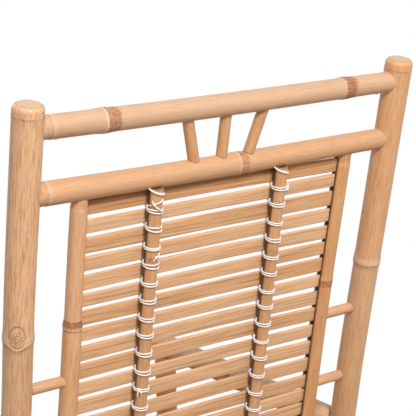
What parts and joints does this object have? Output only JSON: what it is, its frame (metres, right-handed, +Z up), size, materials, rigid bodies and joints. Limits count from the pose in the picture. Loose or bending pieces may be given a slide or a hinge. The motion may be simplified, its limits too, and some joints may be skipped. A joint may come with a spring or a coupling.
{
  "type": "rocking chair",
  "caption": "Tall-backed bamboo rocking chair with slatted back and seat, level arms and bent rockers; seats one person and rocks on the floor.",
  "frame": {"origin": "on the floor midway between the rockers, at the line where they touch it at rest", "axes": "+Z up, -Y to the front of the chair, +X to the sitter's left"},
  "size_m": [0.6438, 0.8832, 1.1923],
  "materials": {
    "culm": "satin bamboo skin",
    "thin_cane": "satin bamboo skin",
    "split_slat": "planed split bamboo",
    "dowel_wood": "turned hardwood",
    "lashing_cord": "twisted cotton cord"
  },
  "bodies": {
    "root": {"arm_dowels": "dowel_wood", "back_slats": "split_slat", "back_stile_dowels": "dowel_wood", "crest_rail": "culm", "crest_rail_dowels": "dowel_wood", "crest_spindle_centre": "thin_cane", "crest_spindle_left": "thin_cane", "crest_spindle_right": "thin_cane", "dowel_pins": "dowel_wood", "front_post_dowels": "dowel_wood", "front_seat_rail": "culm", "front_seat_rail_dowels": "dowel_wood", "front_stretcher": "culm", "front_stretcher_dowels": "dowel_wood", "left_arm": "culm", "left_back_batten": "thin_cane", "left_back_lashing": "lashing_cord", "left_back_post": "culm", "left_back_stile": "culm", "left_front_post": "culm", "left_lower_stub": "thin_cane", "left_rocker": "culm", "left_seat_batten": "thin_cane", "left_seat_lashing": "lashing_cord", "left_seat_rail": "culm", "left_seat_rail_dowels": "dowel_wood", "left_side_stretcher": "culm", "left_upper_stub": "thin_cane", "lower_back_rail": "culm", "lower_back_rail_dowels": "dowel_wood", "rear_seat_rail": "culm", "rear_seat_rail_dowels": "dowel_wood", "rear_stretcher": "culm", "rear_stretcher_dowels": "dowel_wood", "right_arm": "culm", "right_back_batten": "thin_cane", "right_back_lashing": "lashing_cord", "right_back_post": "culm", "right_back_stile": "culm", "right_front_post": "culm", "right_lower_stub": "thin_cane", "right_rocker": "culm", "right_seat_batten": "thin_cane", "right_seat_lashing": "lashing_cord", "right_seat_rail": "culm", "right_seat_rail_dowels": "dowel_wood", "right_side_stretcher": "culm", "right_upper_stub": "thin_cane", "rocker_dowels": "dowel_wood", "seat_slats": "split_slat", "shoulder_rail": "culm", "shoulder_rail_dowels": "dowel_wood", "side_stretcher_dowels": "dowel_wood"}
  },
  "joints": []
}
